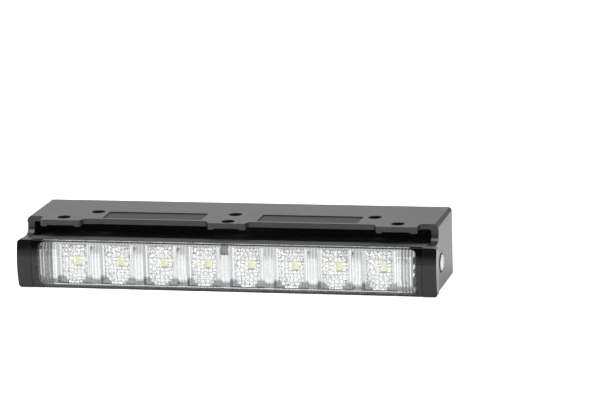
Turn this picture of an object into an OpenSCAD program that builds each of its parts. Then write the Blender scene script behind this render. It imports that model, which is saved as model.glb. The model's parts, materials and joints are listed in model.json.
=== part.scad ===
// Daytime running light: a slim light unit held in a moulded bracket.
// Millimetres, +Z up, +X to the right seen from the front, the front faces -Y.
// The origin is at the centre of the underside of the whole lamp.
// Depths are measured back from the foremost line of the clear cover.

/* [Light unit] */
// Width of the front rim
lamp_w = 200; // [190:1:215]
// Height of the front rim
lamp_h = 23; // [22:0.5:26]
// How far the middle of the front stands out past its upper and lower edges
crown = 2; // [1:0.1:3]
// Thickness of the rim where it overlaps the bracket's cheeks
rim_end_t = 6.4; // [5:0.1:7.5]
// Depth of the tall part of the housing behind the front
rim_depth = 10.8; // [10:0.1:12]
// Height of the housing behind the rim
body_h = 20; // [19:0.5:22]
// Depth of the housing
body_depth = 27; // [25:0.5:29]
// Wall above and below the window
rim_wall = 1; // [0.8:0.1:1.5]
// Wall of the housing behind the rim
body_wall = 1.8; // [1.5:0.1:2.2]
// Radius on the corners of the rim
rim_corner_r = 1.5; // [0.5:0.1:2.5]
// Gap between the housing and the bracket's cheeks
side_gap = 0.6; // [0.4:0.1:1]

/* [Cover] */
// Width of the black block at each end of the front
end_block_w = 7; // [6:0.1:9]
// Thickness of the cover
cover_t = 2; // [1.5:0.1:2.2]
// Thickness of the sealing bead under the cover
seal_t = 0.4; // [0.3:0.1:0.6]
// Width of the land on which each end of the cover is bonded
cover_land = 3; // [2.5:0.1:5]
// Radius of the window's corners
window_r = 2; // [1:0.1:3]

/* [Reflector] */
// Wall thickness of the reflector
reflector_t = 1.2; // [0.9:0.1:1.5]
// Gap from the cover to the reflector's crests
reflector_gap = 0.6; // [0.4:0.1:1]
// Width of the crest between two troughs
crest_w = 4.2; // [3.8:0.1:5.2]
// Depth of the axis of each trough
trough_y = 2.8; // [2.5:0.1:3.2]
// Height of the floor and of the ceiling of the reflector
reflector_floor_t = 0.8; // [0.6:0.1:0.9]
// Radius of the flutes
flute_r = 0.75; // [0.5:0.05:0.9]
// Width of the plain pad outside the flutes at each end
end_pad = 3; // [2:0.1:4]
// Width of the clip at the top of the middle crest
clip_w = 2.8; // [2:0.1:3.6]
// Height of the clip
clip_h = 3.8; // [3:0.1:5]

/* [Optics] */
// Number of LEDs in the row
led_count = 8; // [8]
// Plain stretch of the window at each end of the row of optics
row_margin = 6.8; // [5:0.1:9]
// Width of an optic
optic_w = 12; // [11:0.1:12.5]
// Height of an optic
optic_h = 18; // [16.5:0.1:18.4]
// Width of the optic's foot on the board
optic_foot = 6; // [5.6:0.1:7]
// Width of the LED's square package
led_w = 3.5; // [3:0.1:3.8]
// Height of the LED's package
led_t = 0.8; // [0.6:0.1:1]

/* [Board and heat sink] */
// Depth of the board's front face
board_y = 13; // [12.6:0.1:14]
// Thickness of the board
board_t = 1.6; // [1:0.1:2]
// Thickness of the thermal pad
pad_t = 0.3; // [0.2:0.05:0.6]
// Thickness of the heat sink's floor under the board
sink_floor_t = 2.5; // [2:0.1:3]
// Thickness of the heat sink's flange
sink_flange_t = 2.5; // [2:0.1:3]
// How far the fins stand out behind the flange
fin_reach = 10.7; // [6:0.1:15]
// Thickness of a fin
fin_t = 1.6; // [1.2:0.1:2]
// Distance from one fin to the next
fin_pitch = 5.2; // [4.4:0.1:5.6]
// Thickness of the seal under the flange
sink_seal_t = 0.8; // [0.5:0.1:1.2]
// Bore of the cable inlet
gland_bore = 4.2; // [3.5:0.1:5]
// Outer diameter of the gland where it passes the heat sink
gland_d = 7.5; // [6.5:0.1:8.5]

/* [Bracket] */
// How far each end of the front rim overlaps the bracket
rim_overlap = 1.4; // [1.3:0.1:3]
// Depth of the whole lamp, from the cover to the back of the bracket
bracket_depth = 53; // [50:0.5:60]
// Height of the bracket
bracket_h = 31.5; // [30.5:0.5:36]
// Thickness of the top plate
plate_t = 2.5; // [2:0.1:3.2]
// Thickness of a cheek
cheek_t = 3.4; // [2.9:0.1:4]
// Thickness of the back wall
back_t = 2.5; // [2:0.1:3.2]
// Radius on the bracket's long outer edges
edge_r = 2.4; // [1.6:0.1:3.2]
// Depth of the plate's front edge between the tabs
plate_front = 11.3; // [10.5:0.1:12.5]
// How far the tabs stand out past the plate's front edge
tab_reach = 4; // [3:0.1:5]
// Half the width of the middle tab
tab_mid_half = 9.4; // [8:0.1:12]
// Distance from the bracket's side to an outer tab
tab_side = 8.6; // [7:0.1:10.5]
// Width of an outer tab
tab_w = 19.7; // [18.5:0.1:22]
// Radius where a tab meets the plate
tab_root_r = 2.4; // [1:0.1:3]
// Depth of the plate's front edge beside the cheeks
notch_y = 14.8; // [14:0.1:16]
// Depth of the front edge of a cheek at its top
cheek_front = 15.6; // [15:0.1:17]
// Radius of the flare at the front of a cheek
flare_r = 4; // [2:0.1:5]

/* [Holes and pockets] */
// Bore of the screw holes in the top plate
hole_d = 3.8; // [3.4:0.1:4.2]
// Diameter of their countersinks at the surface
sink_d = 6.4; // [5.6:0.1:7]
// Distance from the bracket's side to a front outer hole
front_hole_side = 18.6; // [17.1:0.1:20.5]
// Depth of the front outer holes
front_holes_y = 13.7; // [13:0.1:15]
// Distance from the bracket's side to a rear outer hole
rear_hole_side = 31.9; // [28.6:0.1:33.5]
// Depth of the rear holes
rear_holes_y = 26.2; // [24:0.1:30]
// Depth of the front middle hole
middle_hole_y = 11.6; // [11.4:0.1:13]
// Distance from the middle to the inner end of a pocket
pocket_in = 13.3; // [11:0.1:16]
// Distance from the bracket's side to a pocket
pocket_side = 37.4; // [36.6:0.1:46]
// Depth of a pocket's front side
pocket_front = 13.2; // [12.8:0.1:16]
// Depth of a pocket's rear side
pocket_rear = 27; // [24:0.1:34]
// How deep a pocket is sunk in the plate
pocket_sunk = 0.5; // [0.3:0.1:1]
// Width of the cable notch in the back wall
cable_notch_w = 14; // [10:0.5:20]
// Height of the cable notch
cable_notch_h = 16; // [13:0.5:18]

/* [Side screws] */
// Distance from the housing's back to the side screws' axis
side_axis_back = 6.5; // [5.5:0.1:8]
// Height of the side screws' axis
side_axis_z = 12; // [11:0.1:12.5]
// Thread diameter of a side screw
side_thread_d = 4; // [3.5:0.1:4.2]
// Width across the flats of a side screw's socket
side_socket = 2.5; // [2:0.1:3]
// Diameter of a side screw's head
side_head_d = 7.6; // [7:0.1:8]
// Height of a side screw's head
side_head_h = 2; // [1.6:0.1:2.2]
// Outer diameter of the washers
washer_d = 9; // [8.4:0.1:9.4]
// Thickness of a washer
washer_t = 0.8; // [0.5:0.1:1]
// How deep the washer is let into the cheek
washer_sunk = 1.5; // [1.3:0.1:1.7]
// Outer diameter of the brass inserts
insert_d = 5.8; // [5.4:0.1:6.2]
// Length of the brass inserts
insert_len = 6; // [5:0.1:7]

/* [Clearances] */
// Gap between parts that only slip into each other
slip = 0.2; // [0.1:0.05:0.3]
// Gap between a screw and the hole that it passes through
screw_gap = 0.2; // [0.1:0.05:0.3]
// Gap between a screw and its thread
thread_gap = 0.05; // [0.02:0.01:0.1]
// Gap around each optic in the reflector
optic_gap = 0.3; // [0.2:0.05:0.4]

/* [Hidden] */
$fn = 48;
tiny = 0.01;
past = 2;
inner_r = 1.2;
back_edge_r = 2;
tab_tip_r = 1.5;
rib = 9;
rib_t = 2;
tab_foot_h = 0.6;
tab_foot_w = 3.2;
tab_foot_depth = 1.3;
mid_z = lamp_h / 2;
cover_w = lamp_w - 2 * end_block_w;
window_w = cover_w - 2 * cover_land;
led_pitch = (window_w - 2 * row_margin) / led_count;
trough_r = (led_pitch - crest_w) / 2;
bracket_w = lamp_w - 2 * rim_overlap;
tab_out = bracket_w / 2 - tab_side;
tab_in = tab_out - tab_w;
front_hole_x = bracket_w / 2 - front_hole_side;
rear_hole_x = bracket_w / 2 - rear_hole_side;
pocket_out = bracket_w / 2 - pocket_side;
side_axis_y = body_depth - side_axis_back;
body_w = bracket_w - 2 * (cheek_t + side_gap);
body_z = mid_z - body_h / 2;
front_r = (lamp_h * lamp_h / 4 + crown * crown) / (2 * crown);
seat_inset = cover_t + seal_t;
ledge_y = rim_depth - body_wall;
cavity_h = body_h - 2 * body_wall;
boss_len = 8.4;
cavity_w = body_w - 2 * boss_len;
tub_w = cavity_w - 2 * slip;
tub_h = cavity_h - 2 * slip;
tub_wall = 1.8;
board_margin = 0.5;
board_w = tub_w - 2 * board_margin;
board_h = tub_h - 2 * board_margin;
pad_y = board_y + board_t;
tub_y = pad_y + pad_t;
flange_y = body_depth + sink_seal_t;
flange_margin = 0.6;
plate_z = bracket_h - plate_t;
cheek_in = bracket_w / 2 - cheek_t;
back_in = bracket_depth - back_t;
cheek_low_front = rim_end_t + 0.3;
reflector_w = window_w - 2 * slip;
reflector_h = lamp_h - 2 * (rim_wall + 2 * slip);
aperture_w = optic_w + 2 * optic_gap;
aperture_h = optic_h + 2 * optic_gap;
reflector_front = seat_inset - seal_t + reflector_gap;
crest_y = reflector_front + flute_r;
flute_pitch = 2 * flute_r - 0.05;
led_cavity = led_w + 0.8;
led_dome_r = 1.3;
post_r = 1.1;
post_z = [5.3, lamp_h - 4];
lone_post_z = mid_z + 0.5;
board_screw_d = 2.5;
board_screw_head_d = 4.6;
board_screw_head_h = 1.6;
sink_screw_d = 2.6;
sink_screw_head_d = 5;
sink_screw_head_h = 1.8;
sink_screw_len = 7;
sink_screw_x = body_w / 2 - boss_len / 2 - 0.9;
sink_screw_z = 6;
gland_z = mid_z;
gland_head_d = gland_d + 3;
gland_head_t = 2.5;
gland_tail = 12;
connector_z = mid_z + 5;
vent_d = 6;
vent_t = 0.6;
vent_x = bracket_w / 2 - 36;
vent_back = 6;
vent_y = body_depth - vent_back;
led_numbers = [1 : led_count];
SIDES = ["left", "right"];
OPTICS = [for (i = led_numbers) str("optic_", i)];
LEDS = [for (i = led_numbers) str("led_", i)];

function led_x(i) = (i - (led_count + 1) / 2) * led_pitch;

// Moves what is drawn from the cover's foremost line to the origin of the lamp
module place() translate([0, -bracket_depth / 2, 0]) children();

// Extrudes a flat shape in X and Z between two depths
module along_y(y0, y1) translate([0, y1, 0]) rotate([90, 0, 0]) linear_extrude(y1 - y0) children();

// Extrudes a flat shape in Y and Z between two values of X
module along_x(x0, x1) translate([x0, 0, 0]) rotate([90, 0, 90]) linear_extrude(x1 - x0) children();

// Extrudes a flat shape in X and Y between two heights
module along_z(z0, z1) translate([0, 0, z0]) linear_extrude(z1 - z0) children();

// Draws its children on the right and mirrored on the left
module both_sides() {
    children();
    mirror([1, 0, 0]) children();
}

// A rectangle from its limits
module flat(x0, x1, y0, y1) translate([x0, y0]) square([x1 - x0, y1 - y0]);

// A rectangle with four round corners, about the middle
module round_flat(w, h, r) {
    square([w, h - 2 * r], center = true);
    square([w - 2 * r, h], center = true);
    for (x = [-1, 1], y = [-1, 1]) translate([x * (w / 2 - r), y * (h / 2 - r)]) circle(r);
}

// The piece that fills an inner corner with a round, in the quarter given by the signs
module corner_fill(x, y, r, sx, sy) {
    difference() {
        flat(min(x, x + sx * r), max(x, x + sx * r), min(y, y + sy * r), max(y, y + sy * r));
        translate([x + sx * r, y + sy * r]) circle(r);
    }
}

// The region behind the bulged front, moved back by an inset, in Y and Z
module behind_front(inset) translate([front_r, mid_z]) circle(front_r - inset, $fn = 96);

// The plate's outline seen from above
module plate_outline() {
    flat(-bracket_w / 2, bracket_w / 2, notch_y, bracket_depth);
    flat(-tab_out, tab_out, plate_front, notch_y + tiny);
    tab(-tab_mid_half, tab_mid_half);
    both_sides() {
        tab(tab_in, tab_out);
        corner_fill(tab_mid_half, plate_front, tab_root_r, 1, -1);
        corner_fill(tab_in, plate_front, tab_root_r, -1, -1);
        corner_fill(tab_out, notch_y, tab_root_r, 1, -1);
    }
}

// One tab with rounded tips, seen from above
module tab(x0, x1) {
    front = plate_front - tab_reach;
    flat(x0, x1, front + tab_tip_r, plate_front + tiny);
    flat(x0 + tab_tip_r, x1 - tab_tip_r, front, plate_front);
    for (x = [x0 + tab_tip_r, x1 - tab_tip_r]) translate([x, front + tab_tip_r]) circle(tab_tip_r);
}

// The bracket's outer shape seen from the front
module bracket_front_outline() {
    flat(-bracket_w / 2, bracket_w / 2, 0, bracket_h - edge_r);
    flat(-bracket_w / 2 + edge_r, bracket_w / 2 - edge_r, 0, bracket_h);
    for (x = [-1, 1]) translate([x * (bracket_w / 2 - edge_r), bracket_h - edge_r]) circle(edge_r);
}

// The bracket's outer shape seen from the side, with the flared front of the cheeks
module bracket_side_outline() {
    shoulder = lamp_h - 0.2;
    flat(cheek_low_front, bracket_depth, 0, shoulder);
    flat(cheek_front, bracket_depth - back_edge_r, 0, bracket_h);
    flat(cheek_front, bracket_depth, 0, bracket_h - back_edge_r);
    flat(plate_front - tab_reach, cheek_front + tiny, plate_z - tab_foot_h, bracket_h);
    translate([bracket_depth - back_edge_r, bracket_h - back_edge_r]) circle(back_edge_r);
    corner_fill(cheek_front, shoulder, flare_r, -1, 1);
}

// The bracket's outer shape seen from above, with its rear corners rounded
module bracket_top_outline() {
    flat(-bracket_w / 2, bracket_w / 2, 0, bracket_depth - edge_r);
    flat(-bracket_w / 2 + edge_r, bracket_w / 2 - edge_r, 0, bracket_depth);
    for (x = [-1, 1]) translate([x * (bracket_w / 2 - edge_r), bracket_depth - edge_r]) circle(edge_r);
}

// The space inside the bracket, seen from the front
module bracket_hollow_outline() {
    flat(-cheek_in, cheek_in, -past, plate_z - inner_r);
    flat(-cheek_in + inner_r, cheek_in - inner_r, -past, plate_z);
    for (x = [-1, 1]) translate([x * (cheek_in - inner_r), plate_z - inner_r]) circle(inner_r);
}

// The place of each hole in the top plate, seen from above
module at_plate_holes() {
    for (x = [-1, 1]) {
        translate([x * front_hole_x, front_holes_y, 0]) children();
        translate([x * rear_hole_x, rear_holes_y, 0]) children();
    }
    for (y = [middle_hole_y, rear_holes_y]) translate([0, y, 0]) children();
}

// A hole with a countersink at the top
module countersunk_hole() {
    cone_h = (sink_d - hole_d) / 2;
    translate([0, 0, plate_z - past]) cylinder(d = hole_d, h = plate_t + 2 * past);
    translate([0, 0, bracket_h - cone_h]) cylinder(d1 = hole_d, d2 = sink_d, h = cone_h);
    translate([0, 0, bracket_h - tiny]) cylinder(d = sink_d, h = past);
}

// The feet under both ends of each tab's front edge
module tab_feet() {
    front = plate_front - tab_reach;
    along_z(plate_z - tab_foot_h, plate_z + tiny) intersection() {
        plate_outline();
        for (ends = [[-tab_out, -tab_in], [-tab_mid_half, tab_mid_half], [tab_in, tab_out]])
            for (x = [ends[0], ends[1] - tab_foot_w])
                flat(x, x + tab_foot_w, front, front + tab_foot_depth);
    }
}

// Triangular ribs between the back wall and the top plate
module bracket_ribs() {
    for (k = [-2, -1, 1, 2])
        along_x(k * bracket_w / 6 - rib_t / 2, k * bracket_w / 6 + rib_t / 2)
            polygon([[back_in + tiny, plate_z + tiny], [back_in + tiny, plate_z - rib], [back_in - rib, plate_z + tiny]]);
}

// Places its children on the side screws' axis with +Z pointing out to the right
module on_side_axis(x) translate([x, side_axis_y, side_axis_z]) rotate([0, 90, 0]) children();

module bracket() {
    color("#2b2d2f") place() difference() {
        union() {
            difference() {
                intersection() {
                    along_y(0, bracket_depth) bracket_front_outline();
                    along_x(-bracket_w / 2, bracket_w / 2) bracket_side_outline();
                    along_z(0, bracket_h) bracket_top_outline();
                }
                along_y(-past, back_in) bracket_hollow_outline();
                along_z(plate_z - tab_foot_h - tiny, bracket_h + past) difference() {
                    flat(-bracket_w, bracket_w, -past, notch_y + past);
                    plate_outline();
                }
            }
            tab_feet();
            bracket_ribs();
            both_sides() on_side_axis(cheek_in - side_gap) cylinder(d = washer_d, h = side_gap + tiny);
        }
        at_plate_holes() countersunk_hole();
        both_sides() along_z(bracket_h - pocket_sunk, bracket_h + past)
            flat(pocket_in, pocket_out, pocket_front, pocket_rear);
        both_sides() {
            on_side_axis(cheek_in - past) cylinder(d = side_thread_d + 2 * screw_gap, h = cheek_t + 2 * past);
            on_side_axis(bracket_w / 2 - washer_sunk) cylinder(d = washer_d + 2 * slip, h = past);
        }
        along_y(back_in - past, bracket_depth + past) {
            flat(-cable_notch_w / 2, cable_notch_w / 2, -past, cable_notch_h - cable_notch_w / 2);
            translate([0, cable_notch_h - cable_notch_w / 2]) circle(cable_notch_w / 2);
        }
    }
}

// Locating posts at the window's ends, two on the left and one on the right
module at_posts() {
    for (z = post_z) translate([-window_w / 2, 0, z]) children();
    translate([window_w / 2, 0, lone_post_z]) children();
}

module housing() {
    color("#141518") place() difference() {
        union() {
            intersection() {
                union() {
                    along_y(0, rim_end_t) translate([0, mid_z]) round_flat(lamp_w, lamp_h, rim_corner_r);
                    along_y(rim_end_t - tiny, rim_depth) flat(-body_w / 2, body_w / 2, 0, lamp_h);
                }
                along_x(-lamp_w / 2, lamp_w / 2) behind_front(0);
            }
            along_y(rim_depth - tiny, body_depth) flat(-body_w / 2, body_w / 2, body_z, body_z + body_h);
        }
        // the seat of the cover, which follows the bulged front
        along_x(-cover_w / 2 - slip / 2, cover_w / 2 + slip / 2) difference() {
            flat(-past, rim_depth, -past, lamp_h + past);
            behind_front(seat_inset);
        }
        // the window and the space for the reflector, with the locating posts left standing
        difference() {
            along_y(-past, ledge_y) translate([0, mid_z]) round_flat(window_w, lamp_h - 2 * rim_wall, window_r);
            at_posts() rotate([-90, 0, 0]) cylinder(r = post_r, h = ledge_y + past);
        }
        // the space for the optics and the heat sink's tub
        along_y(ledge_y - past, body_depth + past)
            flat(-cavity_w / 2, cavity_w / 2, mid_z - cavity_h / 2, mid_z + cavity_h / 2);
        both_sides() on_side_axis(body_w / 2 - insert_len - 1) cylinder(d = insert_d, h = insert_len + past);
        at_sink_screws(body_depth - sink_screw_len) cylinder(d = sink_screw_d, h = sink_screw_len + past);
        translate([vent_x, vent_y, body_z - past]) cylinder(d = vent_d, h = past + vent_t);
        translate([vent_x, vent_y, body_z - past]) cylinder(d = 2, h = past + body_wall + past);
    }
}

module lens_cover() {
    color([0.92, 0.95, 0.97, 0.35]) place()
        intersection() {
            along_x(-cover_w / 2, cover_w / 2) difference() {
                behind_front(0);
                behind_front(cover_t);
            }
            along_y(0, rim_depth) translate([0, mid_z]) square([cover_w, lamp_h], center = true);
        }
}

module cover_seal() {
    color("#0c0c0d") place() difference() {
        intersection() {
            along_x(-cover_w / 2, cover_w / 2) difference() {
                behind_front(cover_t);
                behind_front(seat_inset);
            }
            along_y(0, rim_depth) translate([0, mid_z]) square([cover_w, lamp_h], center = true);
        }
        along_y(0, rim_depth) translate([0, mid_z]) round_flat(window_w, lamp_h - 2 * rim_wall, window_r);
    }
}

// The row of flutes on a crest, seen from above
module flute_row(x, count) {
    for (k = [0 : count - 1])
        translate([x + (k - (count - 1) / 2) * flute_pitch, crest_y]) circle(flute_r, $fn = 24);
}

// The outline of the reflector's crests seen from above
module crest_outline() {
    crest_in = led_pitch / 2 - aperture_w / 2;
    end_in = led_x(led_count) + aperture_w / 2;
    end_crest = reflector_w / 2 - led_x(led_count) - trough_r;
    fluted = end_crest - end_pad;
    end_flutes = floor(fluted / flute_pitch);
    difference() {
        flat(-reflector_w / 2, reflector_w / 2, crest_y, ledge_y);
        for (i = led_numbers) translate([led_x(i), trough_y]) circle(trough_r, $fn = 72);
        for (i = led_numbers) flat(led_x(i) - aperture_w / 2, led_x(i) + aperture_w / 2, 0, ledge_y + past);
    }
    for (i = [1 : led_count - 1]) flute_row((led_x(i) + led_x(i + 1)) / 2, 3);
    both_sides() flute_row(reflector_w / 2 - end_pad - fluted / 2, end_flutes);
}

// The space hollowed out of the back of each crest, seen from above
module crest_hollows() {
    half = led_pitch / 2 - trough_r;
    wide = led_pitch / 2 - aperture_w / 2 - reflector_t;
    narrow = half - reflector_t / 2;
    for (i = [1 : led_count - 1]) translate([(led_x(i) + led_x(i + 1)) / 2, 0])
        polygon([[-wide, ledge_y + 1], [-narrow, crest_y + reflector_t + 1], [narrow, crest_y + reflector_t + 1],
                 [wide, ledge_y + 1]]);
}

module reflector() {
    low = mid_z - reflector_h / 2;
    high = mid_z + reflector_h / 2;
    color("#e4e6e8") place() difference() {
        intersection() {
            union() {
                along_z(low, high) crest_outline();
                for (z = [low, high - reflector_floor_t])
                    along_z(z, z + reflector_floor_t) flat(-reflector_w / 2, reflector_w / 2, crest_y, ledge_y);
            }
            along_x(-reflector_w / 2, reflector_w / 2) behind_front(cover_t + reflector_gap);
            along_y(0, ledge_y) translate([0, mid_z]) round_flat(reflector_w, reflector_h, window_r);
        }
        for (i = led_numbers) translate([led_x(i), 0, 0])
            along_y(crest_y + 1.6, ledge_y + past) translate([0, mid_z]) round_flat(aperture_w, aperture_h, 1.5);
        along_z(low + reflector_t, high - reflector_t) crest_hollows();
        at_posts() rotate([-90, 0, 0]) cylinder(r = post_r + slip, h = ledge_y + past);
        translate([-clip_w / 2 - slip, crest_y - past, high - clip_h - slip])
            cube([clip_w + 2 * slip, clip_hook_y() - crest_y + past + slip, clip_h + past]);
    }
}

function clip_hook_y() = ledge_y - 1.8;

module reflector_clip() {
    high = lamp_h - rim_wall;
    low = mid_z + reflector_h / 2 - clip_h;
    front = crest_y + 0.2;
    color("#8f9294") place()
        along_x(-clip_w / 2, clip_w / 2) difference() {
            intersection() {
                flat(front, clip_hook_y(), low, high);
                behind_front(cover_t + reflector_gap);
            }
            polygon([[front + 1.6, low - tiny], [front + 2.2, high - 1.1], [clip_hook_y() + 1, high - 1.6],
                     [clip_hook_y() + 1, low - tiny]]);
            corner_fill(front, low, 0.5, 1, 1);
        }
}

// The faceted body of one optic, standing on the board
module optic_at(x) {
    hw = optic_w / 2;
    hh = optic_h / 2;
    foot = optic_foot / 2;
    front = reflector_front + 1.2;
    girdle = front + 1.7;
    waist = girdle + 1.2;
    color([0.95, 0.97, 1, 0.4]) place() translate([x, 0, 0]) difference() {
        intersection() {
            along_z(0, lamp_h) polygon([[-hw + 2.2, front], [hw - 2.2, front], [hw, girdle], [hw, waist],
                                        [foot + 0.4, board_y - 1.4], [foot, board_y], [-foot, board_y],
                                        [-foot - 0.4, board_y - 1.4], [-hw, waist], [-hw, girdle]]);
            along_x(-hw, hw) polygon([[front, mid_z - hh + 4.2], [front, mid_z + hh - 4.2], [girdle, mid_z + hh],
                                      [waist, mid_z + hh], [ledge_y, mid_z + cavity_h / 2 - optic_gap],
                                      [board_y, mid_z + foot + 0.8], [board_y, mid_z - foot - 0.8],
                                      [ledge_y, mid_z - cavity_h / 2 + optic_gap], [waist, mid_z - hh],
                                      [girdle, mid_z - hh]]);
            along_y(0, board_y) translate([0, mid_z])
                polygon([[-hw, 2.4 - hh], [1 - hw, 0.8 - hh], [3.1 - hw, -hh], [hw - 3.1, -hh], [hw - 1, 0.8 - hh],
                         [hw, 2.4 - hh], [hw, hh - 2.4], [hw - 1, hh - 0.8], [hw - 3.1, hh], [3.1 - hw, hh],
                         [1 - hw, hh - 0.8], [-hw, hh - 2.4]]);
        }
        // shallow grooves part the upper and lower bevels into four columns
        for (k = [-1, 0, 1], s = [0, 1]) mirror_in_z(s) translate([k * optic_w / 4, 0, 0])
            along_z(mid_z + hh - 4.2, mid_z + hh + past)
                polygon([[-0.35, front - 1], [0.35, front - 1], [0, girdle + 0.1]]);
        translate([-led_cavity / 2, board_y - 2.4, mid_z - led_cavity / 2])
            cube([led_cavity, 2.4 + tiny, led_cavity]);
    }
}

// Mirrors its children about the middle height when the flag is one
module mirror_in_z(flag) translate([0, 0, mid_z]) mirror([0, 0, flag]) translate([0, 0, -mid_z]) children();

// One LED: a square package with a low dome of yellow phosphor
module led_at(x) {
    color("#e8dc6a") place() translate([x, board_y, mid_z]) {
        translate([-led_w / 2, -led_t, -led_w / 2]) cube([led_w, led_t, led_w]);
        intersection() {
            translate([0, -led_t, 0]) sphere(led_dome_r);
            translate([-led_w / 2, -led_w, -led_w / 2]) cube([led_w, led_w - tiny, led_w]);
        }
    }
}

// The place of each screw between the board and the heat sink
module at_board_screws(y) {
    for (k = [1, 3], s = [-1, 1]) translate([s * k * led_pitch, y, mid_z]) rotate([90, 0, 0]) children();
}

// The place of each screw between the heat sink and the housing, with +Z pointing to the back
module at_sink_screws(y) {
    for (x = [-1, 1], z = [-1, 1])
        translate([x * sink_screw_x, y, mid_z + z * sink_screw_z]) rotate([-90, 0, 0]) children();
}

module circuit_board() {
    color("#f2f2ee") place() difference() {
        along_y(board_y, board_y + board_t) translate([0, mid_z]) round_flat(board_w, board_h, 1);
        at_board_screws(board_y + board_t + past)
            cylinder(d = board_screw_d + 2 * screw_gap, h = board_t + 2 * past);
        translate([0, board_y - past, gland_z]) rotate([-90, 0, 0]) cylinder(d = gland_bore + 0.6, h = board_t + 2 * past);
    }
}

module board_connector() {
    w = 6.5;
    h = 4.6;
    t = 3.2;
    color("#e9e4d2") place() difference() {
        translate([-w / 2, board_y - t, connector_z - h / 2]) cube([w, t, h]);
        for (x = [-1, 1]) translate([x * w / 4 - 1, board_y - t + 0.8, connector_z - h / 2 - tiny]) cube([2, 1.5, h - 1]);
    }
}

module board_screws() {
    color("#b9bcc0") place() difference() {
        union() {
            at_board_screws(board_y) cylinder(d = board_screw_head_d, h = board_screw_head_h);
            at_board_screws(tub_y + sink_floor_t - 0.4)
                cylinder(d = board_screw_d - 2 * thread_gap, h = board_t + pad_t + sink_floor_t - 0.4 + tiny);
        }
        at_board_screws(board_y - board_screw_head_h + 0.8) cross_recess(2.6, 0.8);
    }
}

// A cross-shaped driver recess, standing up from its floor
module cross_recess(size, depth) {
    for (a = [0, 90]) rotate([0, 0, a]) translate([-size / 2, -0.3, 0]) cube([size, 0.6, depth + past]);
}

module thermal_pad() {
    color("#9fb4c6") place() difference() {
        along_y(pad_y, tub_y) translate([0, mid_z]) square([board_w - 1, board_h - 1], center = true);
        at_board_screws(tub_y + past) cylinder(d = board_screw_d + 2 * screw_gap + 1, h = pad_t + 2 * past);
        translate([0, pad_y - past, gland_z]) rotate([-90, 0, 0]) cylinder(d = gland_d + 1, h = pad_t + 2 * past);
    }
}

// The outline shared by the heat sink's flange and its seal, seen from the front
module flange_outline() translate([0, mid_z]) round_flat(body_w - 2 * flange_margin, body_h - 2 * flange_margin, 1.5);

module heat_sink() {
    fins = floor((tub_w / 2 - tub_wall) / fin_pitch);
    color("#a6a9ac") place() difference() {
        union() {
            difference() {
                union() {
                    along_y(tub_y, flange_y + tiny) translate([0, mid_z]) square([tub_w, tub_h], center = true);
                    along_y(flange_y, flange_y + sink_flange_t) flange_outline();
                }
                along_y(tub_y + sink_floor_t, flange_y + sink_flange_t + past) translate([0, mid_z])
                    square([tub_w - 2 * tub_wall, tub_h - 2 * tub_wall], center = true);
            }
            // the middle is left open for the cable and its gland
            for (i = [2 : fins - 1], s = [-1, 1]) translate([s * i * fin_pitch, 0, 0])
                along_y(tub_y + sink_floor_t - tiny, flange_y + sink_flange_t + fin_reach) translate([0, mid_z])
                    square([fin_t, tub_h - 2 * tub_wall + 2 * tiny], center = true);
            at_board_screws(tub_y + sink_floor_t + 2.5) cylinder(d = board_screw_d + 3.5, h = 2.5 + tiny);
        }
        at_board_screws(tub_y + sink_floor_t) cylinder(d = board_screw_d, h = sink_floor_t + past);
        at_sink_screws(flange_y - past) cylinder(d = sink_screw_d + 2 * screw_gap, h = sink_flange_t + 2 * past);
        translate([0, tub_y - past, gland_z]) rotate([-90, 0, 0]) cylinder(d = gland_d, h = sink_floor_t + 2 * past);
    }
}

module sink_seal() {
    color("#1b1b1c") place() along_y(body_depth, flange_y) difference() {
        flange_outline();
        translate([0, mid_z]) square([cavity_w, cavity_h], center = true);
        for (x = [-1, 1], z = [-1, 1]) translate([x * sink_screw_x, mid_z + z * sink_screw_z])
            circle(d = sink_screw_d + 2 * screw_gap);
    }
}

module sink_screws() {
    color("#b9bcc0") place() difference() {
        union() {
            at_sink_screws(body_depth - sink_screw_len + 0.5)
                cylinder(d = sink_screw_d - 2 * thread_gap, h = sink_screw_len + sink_seal_t + sink_flange_t);
            at_sink_screws(flange_y + sink_flange_t) cylinder(d = sink_screw_head_d, h = sink_screw_head_h);
        }
        at_sink_screws(flange_y + sink_flange_t + sink_screw_head_h - 0.9) cross_recess(2.8, 0.9);
    }
}

module cable_gland() {
    behind = tub_y + sink_floor_t;
    color("#202122") place() translate([0, 0, gland_z]) rotate([-90, 0, 0]) difference() {
        union() {
            translate([0, 0, pad_y]) cylinder(d = gland_d - 2 * thread_gap, h = behind - pad_y + tiny);
            translate([0, 0, behind]) cylinder(d = gland_head_d, h = gland_head_t);
            translate([0, 0, behind + gland_head_t - tiny]) cylinder(d1 = gland_d, d2 = gland_bore + 2, h = gland_tail);
        }
        translate([0, 0, pad_y - past]) cylinder(d = gland_bore, h = gland_tail + behind + past);
    }
}

module vent_membrane() {
    color("#d9d9d4") place() translate([vent_x, vent_y, body_z]) cylinder(d = vent_d - 2 * thread_gap, h = vent_t);
}

// One side screw, drawn on the right
module side_screw() {
    under_head = bracket_w / 2 - washer_sunk + washer_t;
    shank = washer_t + cheek_t - washer_sunk + side_gap + insert_len - 0.5;
    color("#c9ccd0") place() difference() {
        union() {
            on_side_axis(under_head - shank) cylinder(d = side_thread_d - 2 * thread_gap, h = shank + tiny);
            on_side_axis(under_head) intersection() {
                cylinder(d = side_head_d, h = side_head_h);
                translate([0, 0, -side_head_d + side_head_h]) sphere(side_head_d, $fn = 64);
            }
        }
        on_side_axis(under_head + 0.6) cylinder(d = side_socket / cos(30), h = past, $fn = 6);
    }
}

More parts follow.
